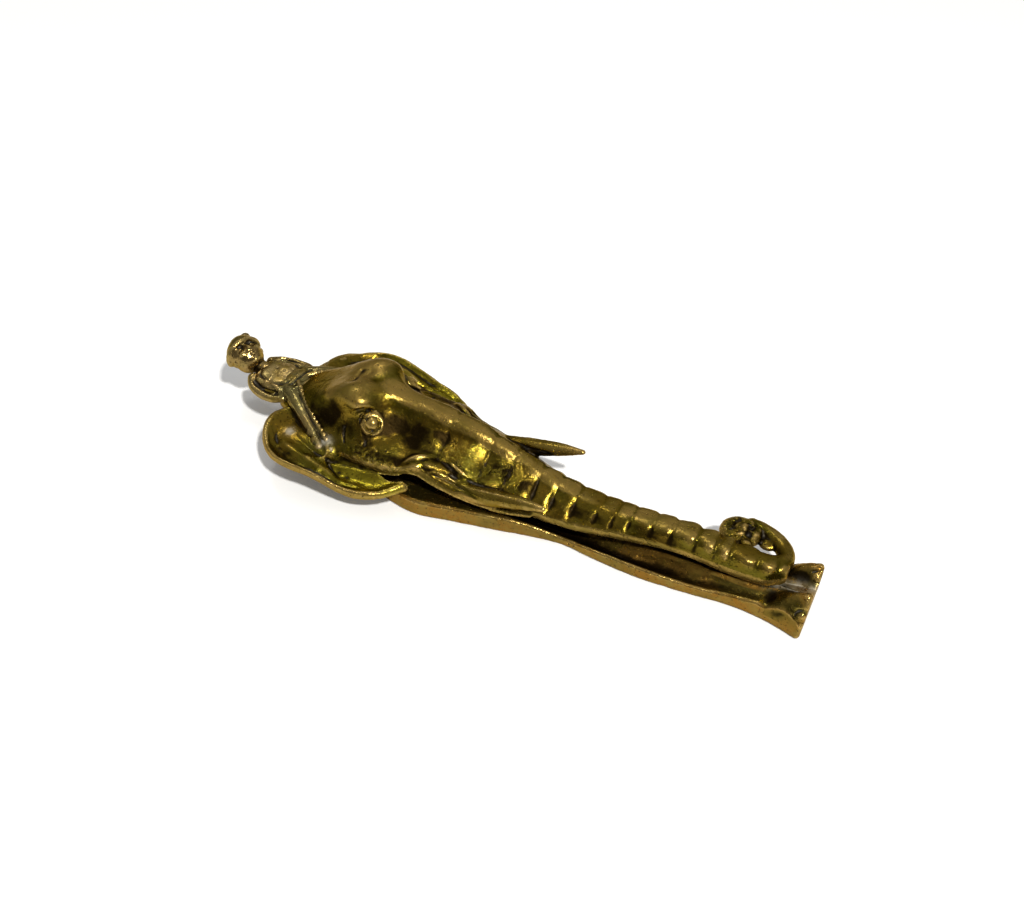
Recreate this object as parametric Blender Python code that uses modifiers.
"""Elephant and rider lever nutcracker: two brass castings on one riveted pin.

Metres, +Z up. The nutcracker lies on the back of its leg lever, +X runs towards the feet and the
elephant faces up. Places along the object run from the rider's head, near 0, to the soles at SOLE_X.
The whole model is then moved back by half of that, so that its origin is under its middle.
"""
import math

import bmesh
import bpy
import numpy as np
from mathutils import Vector

MM = 0.001

# Overall places along the object.
SOLE_X = 0.200
HINGE_X = 0.033
HINGE_Z = 0.0065

# The riveted pin, its bores and the knuckle joint.
PIN_DIAMETER = 0.0040
PIN_HEAD_DIAMETER = 0.0054
PIN_HEAD_THICKNESS = 0.0010
BORE_CLEARANCE = 0.0003
KNUCKLE_RADIUS = 0.0046
KNUCKLE_WIDTH = 0.0084
LUG_THICKNESS = 0.0036
SIDE_CLEARANCE = 0.0003
SWING_CLEARANCE = 0.0006
HEEL_LENGTH = 0.0062
TANG_LENGTH = 0.0120
TANG_TAPER = 0.0040
TANG_DROP = 0.0003
HEEL_EDGE = 0.0008
EDGE_CLEARANCE = 0.0012

# The leg lever.
LEG_RIM_HEIGHT = 0.0055
LEG_CREST_HEIGHT = 0.0066
LEG_EDGE_ROUND = 0.0008
TRIM = 0.0006
FOOT_HEIGHT = 0.0076
FOOT_LENGTH = 0.015
FOOT_RIM = 0.0070
FOOT_GAP = 0.0026
FOOT_GAP_DEPTH = 0.0050
FOOT_GAP_BEVEL = 0.0012
# The round mound of each foot: its middle, back from the soles, across and up, and its radii, in millimetres.
MOUND_BACK = 1.5
MOUND_ACROSS = 7.2
MOUND_HEIGHT = 3.0
MOUND_RADII = (8.5, 6.0, 9.8)
# Toenails: places across a foot, as shares of the mound's radii, and their radii, in millimetres.
NAIL_ANGLES = (20, 52, 90, 128)
NAIL_SHARE = 0.93
NAIL_RADII = (1.6, 1.5, 1.1)

# The gap that stays between the closed levers where they come nearest.
CLOSED_GAP = 0.0003

# The toothed jaws.
TOOTH_PITCH = 0.0040
TOOTH_DEPTH = 0.0010
TOOTH_COUNT = 10
JAW_START_X = 0.054
JAW_BACK = 0.007
JAW_FRONT = 0.015
SEAT_DEPTH = 0.0026
SEAT_HALF_WIDTH = 0.0125

# The head lever.
LIP_REACH = 0.0022
HEAD_START_X = 0.022
TRUNK_END_X = 0.191
TIP_START_X = 0.184
TIP_LENGTH = 0.0074
TRUNK_RIM_HEIGHT = 0.0026
EAR_THICKNESS = 0.0030
EAR_HOLLOW = 0.0024
EAR_WALL = 0.0013
TUSK_RADIUS = 0.0031
EYE_RADIUS = 0.0017
EYE_X = 0.0592
EYE_Y = 0.0117
EYE_Z = 0.0203

# How far a cutter runs past what it cuts.
CUT_PAST = 0.0050
CUT_WIDE = 0.0400

# Spacing of the sections that the levers are lofted through.
LOFT_STEP = 0.0010

# Mesh grain of the castings.
HEAD_GRAIN = 0.00065
LEG_GRAIN = 0.00075
HEAD_FACES = 9400
LEG_FACES = 2600

BRASS = (0.36, 0.25, 0.07, 1.0)
PIN_BRASS = (0.30, 0.21, 0.07, 1.0)


class Profile:
    """A smooth curve through a few points: (place along X in millimetres, value in the unit given)."""

    def __init__(self, *points, unit=MM):
        self.x, self.y = np.array(points, float).T * ((MM,), (unit,))
        self.slope = np.gradient(self.y, self.x)

    def __call__(self, x):
        x = np.clip(x, self.x[0], self.x[-1])
        i = np.clip(np.searchsorted(self.x, x) - 1, 0, len(self.x) - 2)
        span = self.x[i + 1] - self.x[i]
        t = (x - self.x[i]) / span
        return (
            (2 * t**3 - 3 * t**2 + 1) * self.y[i]
            + (t**3 - 2 * t**2 + t) * span * self.slope[i]
            + (3 * t**2 - 2 * t**3) * self.y[i + 1]
            + (t**3 - t**2) * span * self.slope[i + 1]
        )


LEG_HALF_WIDTH = Profile(
    (38, 8.5), (46, 13), (56, 16.8), (68, 19.6), (80, 21.4), (92, 18.7), (104, 15.8), (116, 12.6),
    (125, 10.9), (136, 11.8), (150, 12.4), (166, 11.0), (180, 9.3), (190, 10.0), (200, 12.4),
)
LEG_RISE = Profile((38, 0), (118, 0), (126, 0), (142, 1), (160, 1), (182, 1), (200, 1), unit=1)
LEVER_GAP = Profile(
    (20, 3.8), (40, 4.0), (60, 4.2), (69, 4.4), (73, 5.2), (77, 6.6), (84, 4.4), (92, 3.0), (100, 2.2),
    (108, 0.9), (116, 0.1), (124, 0.0), (134, 0.3), (146, 0.5), (165, 0.5), (178, 0.2), (190, 0.1),
)
HEAD_HALF_WIDTH = Profile(
    (22, 7), (30, 12), (38, 16), (46, 19), (56, 20), (68, 19.8), (74, 18.6), (80, 16.8), (86, 15.8),
    (94, 15), (100, 13.8), (106, 12), (114, 10.1), (124, 8.7), (134, 7.8), (144, 6.5), (154, 5.2),
    (165, 4.7), (178, 4.2), (187, 3.9),
)
HEAD_TOP = Profile(
    (22, 15), (30, 18.2), (38, 22.4), (45, 26.2), (51, 28.3), (57, 28.4), (62, 27.3), (67, 26), (74, 25.1),
    (82, 23.9), (88, 22.9), (94, 21.3), (102, 18.8), (112, 15.9), (122, 13.8), (132, 12.8), (142, 13.2),
    (152, 14.4), (162, 15.0), (172, 14.6), (184, 14.0), (192, 13.6),
)
CREST_HALF_WIDTH = Profile(
    (22, 3), (34, 7), (46, 9), (53, 8.2), (58, 5.8), (63, 4), (70, 3.5), (80, 3.5), (90, 2.5), (98, 1.6),
    (114, 1.3), (126, 1.8), (142, 2.5), (156, 2.8), (187, 2.2),
)
FLANK_POWER = Profile(
    (22, 1.6), (36, 1.25), (48, 1.08), (57, 0.93), (68, 0.78), (80, 0.62), (94, 0.5), (106, 0.62),
    (120, 0.85), (136, 1.0), (150, 1.35), (165, 1.7), (187, 1.8), unit=1,
)
TRUNK_BEND = Profile(
    (22, 0), (112, 0), (126, -0.6), (140, -0.4), (152, 0), (166, 0.2), (178, 0.1), (184, 0.4), (188, 1.2),
    (192, 2.4),
)
# The trunk's rings lie between these grooves and swell most near the end towards the feet.
RING_GROOVES = (
    82, 95.7, 103.4, 112.6, 118.9, 125.7, 133, 138.3, 143.4, 150.2, 156.3, 163.3, 169.6, 173.3, 177.5, 182.7,
    188.5, 194,
)
RING_SWELL = Profile(
    (80, 0), (86, 0.7), (92, 1.1), (103, 1.1), (118, 1.0), (126, 0.7), (134, 0.5), (150, 0.4), (160, 0.6),
    (182, 0.6), (190, 0.3),
)
RING_LEAN = 2.0
NOTCH_WIDTH = 0.0008
NOTCH_DEPTH = 0.0004
JAW_ROOF = Profile(
    (46, 9.6), (52, 15), (60, 18.5), (70, 19.6), (80, 18.4), (90, 16), (98, 13), (106, 9.5), (110, 7.4),
)
JAW_HALF_WIDTH = Profile((46, 6), (54, 11.5), (64, 14), (76, 14.5), (86, 13), (96, 10.5), (104, 8), (110, 6))

EAR_OUTLINE = (
    (30, 8), (25.8, 13), (25.2, 18.6), (27.2, 24), (31, 28.6), (36.4, 32), (43, 33), (51, 32.3),
    (59, 31.5), (66.4, 29.9), (72.4, 26.6), (76, 23), (76.8, 19.6), (66, 15.6), (50, 13.6), (38, 9),
)
EAR_MIDDLE = (50, 23)
EAR_RIM = Profile(
    (24, 12.4), (31, 12.2), (40, 12.8), (47, 12.6), (54, 11.2), (62, 9.2), (70, 9.0), (78, 9.6),
)
EAR_ROOT_RISE = Profile((26, 1.6), (40, 2.8), (48, 3.6), (60, 6.0), (71, 6.0), (77, 0.8))
EAR_ROOT_Y = 0.0265
EAR_ROOT_SPAN = 0.0080
TUSK_PATH = (
    (82, 13.2, 8.6), (91, 13.2, 8.9), (98, 13.7, 10), (106, 14, 12.2), (113, 14.4, 14.1),
    (119.8, 15, 15.6),
)
TUSK_TAPER = (1.1, 1.1, 1.0, 0.84, 0.58, 0.2)
SOCKET_PATH = ((73, 13.0, 12), (79, 12.6, 11.6), (84, 12.4, 10.6), (89, 12.6, 9.4))
SOCKET_RADII = (3.2, 4.3, 4.3, 3.5)
LIP = (
    ((76, 16.6, 12.6), (80, 15.8, 11.4), (86, 15.4, 10), (92, 15.2, 8.9), (99, 14.6, 7.9), (107, 12.6, 7),
     (114, 10.4, 6.8)),
    (1.6, 1.7, 1.7, 1.6, 1.5, 1.3, 1.0),
)
CURL_PATH = (
    (180, 0.3, 10.4), (185.6, 1.8, 10.3), (188.5, 5.4, 10.1), (188.1, 9.4, 10), (185.0, 13.0, 10),
    (180.4, 15.4, 10), (175.6, 16.2, 10),
)
CURL_RADII = (4.0, 3.6, 2.9, 2.7, 2.6, 2.5, 2.4)
# The trunk's tip: a flat fan at the curl's end, its small lip and the web that ties it to the curl.
TIP_BALLS = (
    ((173.6, 10.6, 10.8), (6.4, 6.4, 2.8)),
    ((176.7, 5.2, 12.0), (1.6, 1.5, 1.3)),
    ((182.2, 11.4, 9.6), (3.0, 2.8, 1.4)),
)

# The rider: ellipsoids as (middle, radii), limbs as (points, radii), in millimetres.
RIDER_BALLS = (
    ((19.5, 0, 13.8), (9.6, 10.2, 3.6)),
    ((14.2, 0, 15.0), (4.4, 9.0, 2.9)),
    ((19.6, 0.8, 15.2), (5.0, 5.0, 2.9)),
    ((5.8, -0.2, 17.8), (5.2, 4.9, 5.2)),
    ((2.4, 1.6, 18.2), (5.4, 6.6, 5.6)),
)
RIDER_NECK = (((13, 0, 14.6), (9.8, 0, 16), (7.6, 0.3, 17)), (3.2, 2.8, 2.8))
RIDER_LEG = (
    ((22.6, 4.0, 14.6), (27.2, 6.8, 15.2), (31.8, 10.2, 14.9), (36.4, 13.5, 13.8), (41, 16.8, 12.7),
     (45.6, 20.4, 11.4)),
    (3.0, 2.9, 2.7, 2.5, 2.3, 1.8),
)
RIDER_ARM = (
    ((11.8, 6.6, 14.8), (15.6, 8.4, 14.2), (20, 9.2, 14), (23.6, 8.4, 14.6), (23.2, 6.4, 15.8),
     (19.8, 5.6, 16.2)),
    (2.4, 2.2, 2.1, 1.9, 1.6, 1.3),
)
COLLAR = (
    ((24.4, 0, 17.0), (28.4, 4.4, 17.0), (32.8, 8.2, 16.6), (36.8, 11.0, 15.8), (40.8, 13.6, 14.6),
     (45.2, 16.6, 13.5), (50, 20.2, 11.9)),
    (1.3, 1.3, 1.3, 1.3, 1.2, 1.2, 1.0),
)
# Swells and hollows of the head, on both sides: middle, reach along X, Y and Z, and height.
HEAD_SWELLS = (
    ((50, 7.5, 27), (8, 6, 6), 0.9),
    ((58.5, 9.8, 24.2), (6, 3.6, 3), 1.5),
    ((59.2, 12, 20.0), (4.2, 4.4, 3.4), 1.1),
    ((45, 14.5, 18.5), (7, 4, 5), -1.4),
    ((63, 17.5, 13.5), (8, 4, 4), 0.9),
    ((71, 9, 19), (8, 5, 5), -0.7),
    ((52.5, 0, 28.4), (5, 3.4, 3), -0.5),
)


def foot_share(x):
    """How far the legs have widened into the feet: 0 on the legs and 1 at the soles."""
    return np.clip((x - (SOLE_X - FOOT_LENGTH)) / FOOT_LENGTH, 0, 1) ** 1.5


def leg_top(x):
    """Height of the leg lever's highest line at a place along it."""
    crest = LEG_RIM_HEIGHT + (LEG_CREST_HEIGHT - LEG_RIM_HEIGHT) * LEG_RISE(x)
    return crest + (FOOT_HEIGHT - crest) * foot_share(x)


def lever_underside(x):
    """Height of the head lever's lower edge, which clears the leg lever all along."""
    return leg_top(x) + CLOSED_GAP + LEVER_GAP(x)


def new_object(name, build, collection):
    """An object whose mesh is whatever build adds to an empty bmesh."""
    bm = bmesh.new()
    build(bm)
    bm.normal_update()
    bmesh.ops.recalc_face_normals(bm, faces=bm.faces)
    mesh = bpy.data.meshes.new(name)
    bm.to_mesh(mesh)
    bm.free()
    obj = bpy.data.objects.new(name, mesh)
    collection.objects.link(obj)
    return obj


def add_loft(bm, rings):
    """A closed skin through rings of as many points each, with flat ends."""
    rows = [[bm.verts.new(point) for point in ring] for ring in rings]
    for low, high in zip(rows, rows[1:]):
        for i in range(len(low)):
            j = (i + 1) % len(low)
            bm.faces.new((low[i], low[j], high[j], high[i]))
    bm.faces.new(rows[0][::-1])
    bm.faces.new(rows[-1])


def add_ball(bm, centre, radii, segments=20):
    """An ellipsoid, its centre and radii in millimetres."""
    made = bmesh.ops.create_uvsphere(bm, u_segments=segments, v_segments=segments // 2 + 2, radius=1)
    for vert in made["verts"]:
        vert.co = Vector([(c + r * v) * MM for c, r, v in zip(centre, radii, vert.co)])


def curve_point(a, b, c, d, t):
    """A point from b to c on the smooth curve that runs through a, b, c and d."""
    bend = 2 * a - 5 * b + 4 * c - d
    twist = 3 * b - a - 3 * c + d
    return 0.5 * (2 * b + (c - a) * t + bend * t**2 + twist * t**3)


def smooth_path(points, radii, steps=5):
    """Points and radii along a smooth curve through the given ones, in metres."""
    points = np.array(points, float) * MM
    radii = np.array(radii, float) * MM
    both = np.column_stack([points, radii])
    ends = np.vstack([2 * both[0] - both[1], both, 2 * both[-1] - both[-2]])
    rows = []
    for a, b, c, d in zip(ends, ends[1:], ends[2:], ends[3:]):
        for t in np.arange(steps) / steps:
            rows.append(curve_point(a, b, c, d, t))
    rows.append(both[-1])
    rows = np.array(rows)
    return rows[:, :3], rows[:, 3]


def add_limb(bm, points, radii, sides=14, flat=1.0, mirror=False):
    """A round limb along a smooth path, with domed ends; flat below 1 makes it lower than it is wide."""
    spine, radius = smooth_path(points, radii)
    if mirror:
        spine = spine * (1, -1, 1)
    along = np.gradient(spine, axis=0)
    along /= np.linalg.norm(along, axis=1)[:, None]
    rings = []
    dome = [(-0.95, 0.3), (-0.7, 0.72), (-0.35, 0.94)]
    stations = [(0, shift, share) for shift, share in dome]
    stations += [(i, 0, 1) for i in range(len(spine))]
    stations += [(len(spine) - 1, -shift, share) for shift, share in reversed(dome)]
    for i, shift, share in stations:
        side = np.cross((0, 0, 1), along[i])
        side /= np.linalg.norm(side)
        up = np.cross(along[i], side)
        centre = spine[i] + along[i] * shift * radius[i]
        turn = 2 * math.pi * np.arange(sides) / sides
        rings.append(
            centre
            + radius[i] * share * (np.cos(turn)[:, None] * side + flat * np.sin(turn)[:, None] * up)
        )
    add_loft(bm, rings)


def ring_wave(x):
    """How far the trunk's rings swell its flank, and how deep the notches between them cut its crest."""
    grooves = np.array(RING_GROOVES) * MM
    share = np.interp(x, grooves, np.arange(len(grooves)), left=0, right=0) % 1
    swell = math.sin(math.pi * share**RING_LEAN) * RING_SWELL(x)
    notch = sum(math.exp(-(((x - groove) / NOTCH_WIDTH) ** 2)) for groove in grooves) * NOTCH_DEPTH
    return swell, notch


def tip_share(x):
    """How full the trunk is where it rounds off at its end: 1 before TIP_START_X, less after it."""
    return math.sqrt(1 - max(0, (x - TIP_START_X) / TIP_LENGTH) ** 2)


def head_section(x):
    """One section of the head and trunk: a flat crest, a hollow or full flank, and an upright rim."""
    full = tip_share(x)
    half = HEAD_HALF_WIDTH(x) * full
    crest = CREST_HALF_WIDTH(x) * full
    low = lever_underside(x) - 0.8 * MM
    shoulder = low + TRUNK_RIM_HEIGHT + 0.8 * MM
    top = shoulder + (HEAD_TOP(x) - shoulder) * full**0.5
    power = FLANK_POWER(x)
    swell, notch = ring_wave(x)
    points = [(0, top - notch), (0.7 * crest, top - notch - 0.1 * MM)]
    for step in np.linspace(0, 1, 10):
        across = crest + (half - crest) * step
        height = top - (top - shoulder) * step**power
        if step == 0:
            height -= 0.25 * MM
        bulge = swell * math.sin(math.pi * min(1, step * 1.05))
        points.append((across + 0.6 * bulge, height + 0.8 * bulge - notch * (1 - step)))
    points += [(half + 0.2 * MM, low + 0.5 * (shoulder - low)), (half - 0.3 * MM, low)]
    far = [(-y, z) for y, z in reversed(points[1:])]
    bend = TRUNK_BEND(x)
    return [(x, y + bend, z) for y, z in points + far]


def closed_outline(points, steps=4):
    """A smooth closed outline through points in the plane, in metres."""
    points = np.array(points, float) * MM
    rows = []
    for i in range(len(points)):
        a, b, c, d = (points[(i + k) % len(points)] for k in (-1, 0, 1, 2))
        for t in np.arange(steps) / steps:
            rows.append(curve_point(a, b, c, d, t))
    return np.array(rows)


def add_ear(bm, side):
    """A dished ear with a rolled rim, rising to its root at the cheek, on the side +1 or -1."""
    outline = closed_outline(EAR_OUTLINE)
    middle = np.array(EAR_MIDDLE) * MM
    rim = EAR_RIM(outline[:, 0])
    below = -EAR_HOLLOW - EAR_WALL
    rings = []
    steps = (
        (0.05, -EAR_HOLLOW), (0.4, -EAR_HOLLOW), (0.7, -EAR_HOLLOW), (0.84, -0.5 * EAR_HOLLOW),
        (0.92, -0.05 * EAR_HOLLOW), (0.965, 0.0), (0.995, -0.25 * EAR_THICKNESS),
        (1.0, -0.5 * EAR_THICKNESS), (0.975, -0.85 * EAR_THICKNESS), (0.9, -EAR_THICKNESS),
        (0.74, below), (0.4, below), (0.05, below),
    )
    for share, drop in steps:
        flat = middle + (outline - middle) * share
        rise = EAR_ROOT_RISE(flat[:, 0]) * np.clip((EAR_ROOT_Y - flat[:, 1]) / EAR_ROOT_SPAN, 0, 1)
        rings.append(np.column_stack([flat[:, 0], side * flat[:, 1], rim + drop + rise]))
    add_loft(bm, rings)


def add_rider(bm):
    """The rider sits behind the head, facing up, with a leg and a collar down each side of the neck."""
    for middle, radii in RIDER_BALLS:
        add_ball(bm, middle, radii)
    add_limb(bm, *RIDER_NECK)
    for mirror in (False, True):
        add_limb(bm, *RIDER_LEG, flat=0.9, mirror=mirror)
        add_limb(bm, *RIDER_ARM, mirror=mirror)
        add_limb(bm, *COLLAR, mirror=mirror)


def head_forms(bm):
    """Every form of the head lever's casting, overlapping, before they are fused."""
    add_loft(bm, [head_section(x) for x in np.arange(HEAD_START_X, TRUNK_END_X, LOFT_STEP)])
    for side in (1, -1):
        add_ear(bm, side)
        add_ball(bm, (EYE_X / MM, side * (EYE_Y / MM + 0.9), EYE_Z / MM + 0.9), [EYE_RADIUS / MM] * 3, 12)
    tusk_radii = [TUSK_RADIUS / MM * share for share in TUSK_TAPER]
    for mirror in (False, True):
        add_limb(bm, SOCKET_PATH, SOCKET_RADII, mirror=mirror)
        add_limb(bm, TUSK_PATH, tusk_radii, flat=0.95, mirror=mirror)
        add_limb(bm, *LIP, mirror=mirror)
    add_limb(bm, CURL_PATH, CURL_RADII)
    for middle, radii in TIP_BALLS:
        add_ball(bm, middle, radii)
    add_rider(bm)
    add_lugs(bm)


def hinge_arc(radius, start, end, count):
    """Places (X, Z) on an arc round the hinge axis, from one angle to another."""
    turn = np.linspace(start, end, count)
    return [(HINGE_X + radius * math.cos(a), HINGE_Z + radius * math.sin(a)) for a in turn]


def add_lugs(bm):
    """Two lugs under the head, one each side of the knuckle, rounded about the hinge axis."""
    roof = HINGE_Z + 2 * KNUCKLE_RADIUS
    outline = hinge_arc(KNUCKLE_RADIUS, math.pi, 2 * math.pi, 13)
    outline += [(HINGE_X + KNUCKLE_RADIUS, roof), (HINGE_X - KNUCKLE_RADIUS, roof)]
    inner = KNUCKLE_WIDTH / 2
    outer = inner + SIDE_CLEARANCE + LUG_THICKNESS
    for side in (1, -1):
        add_loft(bm, [[(x, side * across, z) for x, z in outline] for across in (inner, outer)])


def tooth_rings(section, start, count):
    """Sections at each crest and valley of a row of cross teeth."""
    rings = []
    for i in range(2 * count + 1):
        x = start + i * TOOTH_PITCH / 2
        rings.append(section(x, TOOTH_DEPTH if i % 2 else 0))
    return rings


def jaw_section(x, tooth):
    """The hollow under the head: an arch that stays clear of the skin, open below."""
    roof = JAW_ROOF(x) - tooth
    half = JAW_HALF_WIDTH(x)
    floor = leg_top(x) - CUT_PAST
    turn = np.linspace(0, math.pi, 13)
    spring = lever_underside(x)
    rise = max(roof - spring, CLOSED_GAP)
    arch = [(x, half * math.cos(a), spring + rise * math.sin(a) ** 0.8) for a in turn]
    return arch + [(x, -half, floor), (x, half, floor)]


def cut_jaw(bm):
    """The nut space: plain at both ends, toothed between."""
    end = JAW_START_X + TOOTH_COUNT * TOOTH_PITCH
    rings = [jaw_section(x, 0) for x in np.linspace(JAW_START_X - JAW_BACK, JAW_START_X, 3)[:-1]]
    rings += tooth_rings(jaw_section, JAW_START_X, TOOTH_COUNT)
    rings += [jaw_section(x, 0) for x in np.linspace(end, end + JAW_FRONT, 5)[1:]]
    add_loft(bm, rings)


def cut_below(bm):
    """Everything under the head lever's lower edge, as deep and wide as the leg lever needs."""
    rings = []
    for x in np.arange(HEAD_START_X - 2 * CUT_PAST, SOLE_X - CUT_PAST, 3 * LOFT_STEP):
        half = min(LEG_HALF_WIDTH(x) + EDGE_CLEARANCE, HEAD_HALF_WIDTH(x) + LIP_REACH)
        high = lever_underside(x)
        rings.append([(x, half, high), (x, -half, high), (x, -half, -CUT_PAST), (x, half, -CUT_PAST)])
    add_loft(bm, rings)


def add_box(bm, low, high):
    made = bmesh.ops.create_cube(bm, size=1)
    for vert in made["verts"]:
        vert.co = Vector([a + (b - a) * (v + 0.5) for a, b, v in zip(low, high, vert.co)])


def add_rod(bm, radius, start, end, segments=32):
    """A cylinder along Y through the hinge axis."""
    made = bmesh.ops.create_cone(
        bm, cap_ends=True, segments=segments, radius1=radius, radius2=radius, depth=end - start
    )
    for vert in made["verts"]:
        x, y, z = vert.co
        vert.co = Vector((HINGE_X + x, (start + end) / 2 + z, HINGE_Z - y))


def slot_half_width():
    return KNUCKLE_WIDTH / 2 + SIDE_CLEARANCE


def cut_slot(bm):
    """Room for the knuckle and its heel between the lugs."""
    half = slot_half_width()
    reach = KNUCKLE_RADIUS + SWING_CLEARANCE
    back = HINGE_X - HEEL_LENGTH - SWING_CLEARANCE
    outline = hinge_arc(reach, 0, math.pi / 2, 8)
    outline += [(back, HINGE_Z + reach), (back, -CUT_PAST), (HINGE_X + reach, -CUT_PAST)]
    add_loft(bm, [[(x, across, z) for x, z in outline] for across in (-half, half)])


def leg_section(x):
    """One section of the leg lever: a flat back, an upright rim and a low crest over each leg."""
    half = LEG_HALF_WIDTH(x)
    rim = LEG_RIM_HEIGHT + (FOOT_RIM - LEG_RIM_HEIGHT) * foot_share(x)
    crest = leg_top(x)
    edge = LEG_EDGE_ROUND
    points = [
        (0, crest), (0.35 * half, crest), (0.62 * half, crest), (0.72 * half, crest - 0.2 * (crest - rim)),
        (half - edge, rim), (half, rim - edge), (half, edge), (half - edge, 0), (half - edge, -TRIM),
    ]
    far = [(-y, z) for y, z in reversed(points[1:])]
    return [(x, y, z) for y, z in points + far]


def leg_forms(bm):
    """Every form of the leg lever's casting, overlapping, before they are fused."""
    start = HINGE_X + KNUCKLE_RADIUS + SWING_CLEARANCE
    add_loft(bm, [leg_section(x) for x in np.arange(start, SOLE_X + TRIM + LOFT_STEP, LOFT_STEP)])
    middle = SOLE_X / MM - MOUND_BACK
    for side in (1, -1):
        add_ball(bm, (middle, side * MOUND_ACROSS, MOUND_HEIGHT), MOUND_RADII, 28)
        for angle in np.radians(NAIL_ANGLES):
            across = MOUND_ACROSS + NAIL_SHARE * MOUND_RADII[1] * math.cos(angle)
            height = MOUND_HEIGHT + NAIL_SHARE * MOUND_RADII[2] * math.sin(angle)
            add_ball(bm, (middle + 0.4, side * across, height), NAIL_RADII, 12)
    add_box(
        bm,
        (HINGE_X, -KNUCKLE_WIDTH / 2, -TRIM),
        (start + TANG_LENGTH / 2, KNUCKLE_WIDTH / 2, LEG_RIM_HEIGHT),
    )


def add_tang(bm):
    """The middle knuckle with its square heel, run forward into the leg lever."""
    half = KNUCKLE_WIDTH / 2
    back = HINGE_X - HEEL_LENGTH
    front = HINGE_X + TANG_LENGTH
    outline = hinge_arc(KNUCKLE_RADIUS, math.pi / 6, math.pi, 11)
    outline += [(back, 0.5 * HINGE_Z), (back, HEEL_EDGE), (back + HEEL_EDGE, 0)]
    outline += [(back + HEEL_EDGE, -TRIM), (front, -TRIM)]
    outline += [(front, LEG_RIM_HEIGHT - TANG_DROP), (front - TANG_TAPER, LEG_RIM_HEIGHT)]
    add_loft(bm, [[(x, across, z) for x, z in outline] for across in (-half, half)])


def seat_section(x, tooth):
    """The toothed dish in the leg lever that a nut lies in."""
    end = JAW_START_X + TOOTH_COUNT * TOOTH_PITCH
    share = math.sin(math.pi * np.clip((x - JAW_START_X) / (end - JAW_START_X), 0.0, 1.0)) ** 0.5
    depth = 0.4 * MM + (SEAT_DEPTH - 0.4 * MM) * share - tooth * share
    half = SEAT_HALF_WIDTH * (0.55 + 0.45 * share)
    top = leg_top(x)
    turn = np.linspace(0, math.pi, 11)
    dish = [(x, half * math.cos(a), top - depth * math.sin(a) ** 0.7) for a in turn]
    return dish + [(x, -half, top + CUT_PAST), (x, half, top + CUT_PAST)]


def cut_seat(bm):
    add_loft(bm, tooth_rings(seat_section, JAW_START_X, TOOTH_COUNT))


def cut_back(bm):
    """Trims the leg lever's back flat, where it rests."""
    add_box(bm, (0, -CUT_WIDE, -2 * CUT_PAST), (SOLE_X + 2 * CUT_PAST, CUT_WIDE, 0))


def cut_soles(bm):
    """Trims the soles flat."""
    add_box(bm, (SOLE_X, -CUT_WIDE, -CUT_PAST), (SOLE_X + 2 * CUT_PAST, CUT_WIDE, CUT_WIDE / 2))


def cut_foot_gap(bm):
    """The cleft between the two feet."""
    half = FOOT_GAP / 2
    start = SOLE_X - FOOT_LENGTH
    low = FOOT_HEIGHT - FOOT_GAP_DEPTH
    rings = []
    for x, share in ((start, 0.15), (start + 0.4 * FOOT_LENGTH, 0.6), (SOLE_X + CUT_PAST, 1.0)):
        rings.append(
            [
                (x, half * share, FOOT_HEIGHT + CUT_PAST),
                (x, -half * share, FOOT_HEIGHT + CUT_PAST),
                (x, -half * share, low + FOOT_GAP_BEVEL),
                (x, 0, low),
                (x, half * share, low + FOOT_GAP_BEVEL),
            ]
        )
    add_loft(bm, rings)


def swell(obj, swells):
    """Raises or sinks the skin along its normals round each middle, on both sides of the object."""
    mesh = obj.data
    count = len(mesh.vertices)
    points = np.empty(count * 3)
    normals = np.empty(count * 3)
    mesh.vertices.foreach_get("co", points)
    mesh.vertices.foreach_get("normal", normals)
    points = points.reshape(-1, 3)
    normals = normals.reshape(-1, 3)
    mirrored = np.abs(points * (0, 1, 0)) + points * (1, 0, 1)
    move = np.zeros(count)
    for middle, reach, height in swells:
        away = (mirrored / MM - middle) / reach
        move += height * MM * np.exp(-(away**2).sum(axis=1))
    mesh.vertices.foreach_set("co", (points + normals * move[:, None]).ravel())
    mesh.update()


def fuse(obj, grain, faces, swells=()):
    """Makes one skin of an object's overlapping forms, then thins it where it is plain."""
    remesh = obj.modifiers.new("fuse", "REMESH")
    remesh.mode = "VOXEL"
    remesh.voxel_size = grain
    remesh.adaptivity = 0
    smooth = obj.modifiers.new("soften", "SMOOTH")
    smooth.factor = 0.5
    smooth.iterations = 2
    apply_modifiers(obj)
    swell(obj, swells)
    thin = obj.modifiers.new("thin", "DECIMATE")
    thin.ratio = min(1, faces / (2 * len(obj.data.polygons)))
    apply_modifiers(obj)


def apply_modifiers(obj):
    graph = bpy.context.evaluated_depsgraph_get()
    mesh = bpy.data.meshes.new_from_object(obj.evaluated_get(graph))
    obj.modifiers.clear()
    old = obj.data
    obj.data = mesh
    bpy.data.meshes.remove(old)


def boolean(obj, other, operation):
    modifier = obj.modifiers.new(other.name, "BOOLEAN")
    modifier.operation = operation
    modifier.solver = "EXACT"
    modifier.object = other


def hide_cutter(obj):
    obj.hide_render = True
    obj.display_type = "WIRE"


def brass(name, colour, roughness):
    material = bpy.data.materials.new(name)
    material.use_nodes = True
    shader = material.node_tree.nodes["Principled BSDF"]
    shader.inputs["Base Color"].default_value = colour
    shader.inputs["Metallic"].default_value = 1.0
    shader.inputs["Roughness"].default_value = roughness
    return material


def place(obj, pivot):
    """Puts an object's origin at a point of the model and moves the model to its own origin."""
    shift = Vector((-SOLE_X / 2, 0, 0))
    for vert in obj.data.vertices:
        vert.co -= pivot
    obj.location = pivot + shift


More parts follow.
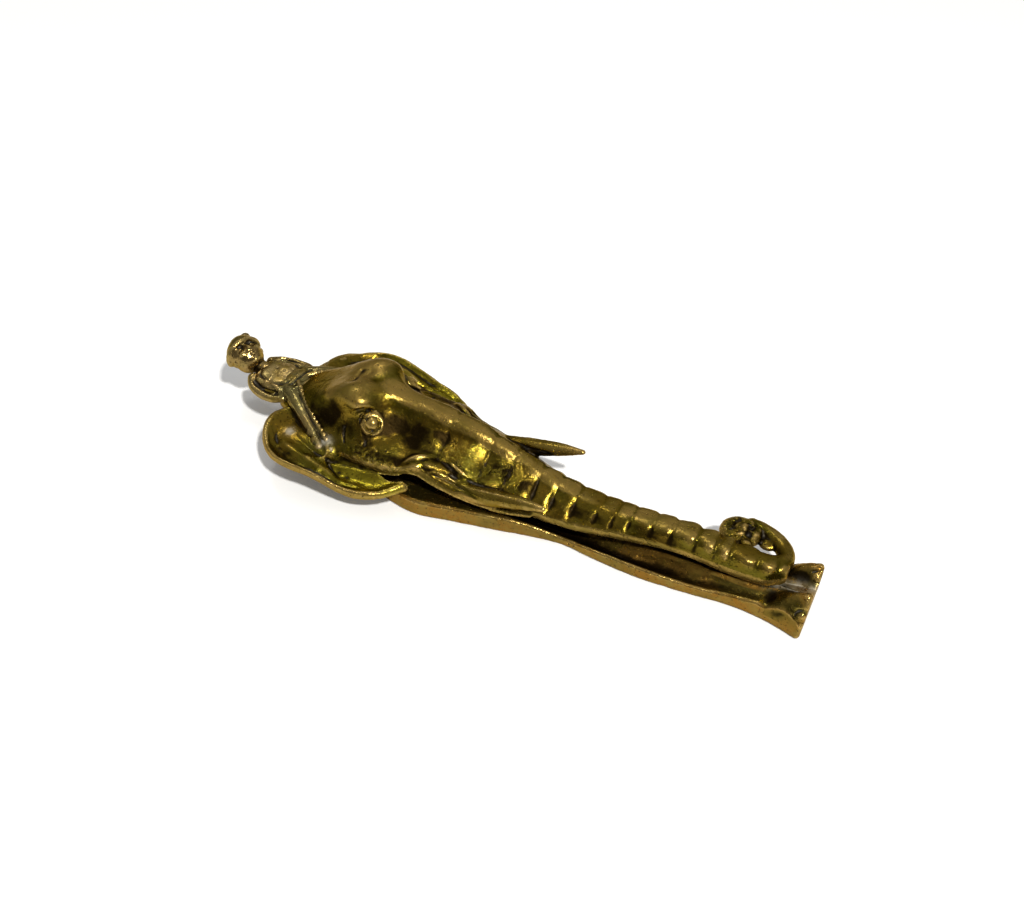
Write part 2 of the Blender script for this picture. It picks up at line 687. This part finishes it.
def main():
    for obj in list(bpy.data.objects):
        bpy.data.objects.remove(obj)
    parts = bpy.data.collections.new("elephant_nutcracker")
    cutters = bpy.data.collections.new("cutters")
    for collection in (parts, cutters):
        bpy.context.scene.collection.children.link(collection)

    head = new_object("head_lever", head_forms, parts)
    fuse(head, HEAD_GRAIN, HEAD_FACES, HEAD_SWELLS)
    leg = new_object("leg_lever", leg_forms, parts)
    fuse(leg, LEG_GRAIN, LEG_FACES)

    lug_outer = slot_half_width() + LUG_THICKNESS
    rod = PIN_DIAMETER / 2
    bore = rod + BORE_CLEARANCE

    def build_pin(bm):
        end = lug_outer + SIDE_CLEARANCE + PIN_HEAD_THICKNESS / 2
        add_rod(bm, rod, -end, end)

    def build_rivet_heads(bm):
        for side in (1, -1):
            face = lug_outer + SIDE_CLEARANCE
            ends = sorted((side * face, side * (face + PIN_HEAD_THICKNESS)))
            add_rod(bm, PIN_HEAD_DIAMETER / 2, *ends)

    pin = new_object("hinge_pin", build_pin, parts)
    heads = new_object("rivet_heads", build_rivet_heads, cutters)
    tools = {
        "below": new_object("below", cut_below, cutters),
        "jaw": new_object("jaw", cut_jaw, cutters),
        "slot": new_object("slot", cut_slot, cutters),
        "bore": new_object("bore", lambda bm: add_rod(bm, bore, -CUT_WIDE / 2, CUT_WIDE / 2), cutters),
        "seat": new_object("seat", cut_seat, cutters),
        "foot_gap": new_object("foot_gap", cut_foot_gap, cutters),
        "back": new_object("back", cut_back, cutters),
        "soles": new_object("soles", cut_soles, cutters),
        "tang": new_object("tang", add_tang, cutters),
        "lugs": new_object("lugs", add_lugs, cutters),
    }
    for name in ("below", "jaw"):
        boolean(head, tools[name], "DIFFERENCE")
    boolean(head, tools["lugs"], "UNION")
    for name in ("slot", "bore"):
        boolean(head, tools[name], "DIFFERENCE")
    boolean(leg, tools["tang"], "UNION")
    for name in ("bore", "back", "soles", "seat", "foot_gap"):
        boolean(leg, tools[name], "DIFFERENCE")
    boolean(pin, heads, "UNION")
    for cutter in cutters.objects:
        hide_cutter(cutter)

    hinge = Vector((HINGE_X, 0, HINGE_Z))
    for obj in list(parts.objects) + list(cutters.objects):
        place(obj, hinge)
    head.data.materials.append(brass("cast_brass_head", BRASS, 0.35))
    leg.data.materials.append(brass("cast_brass_legs", BRASS, 0.35))
    pin.data.materials.append(brass("pin_brass", PIN_BRASS, 0.4))


main()
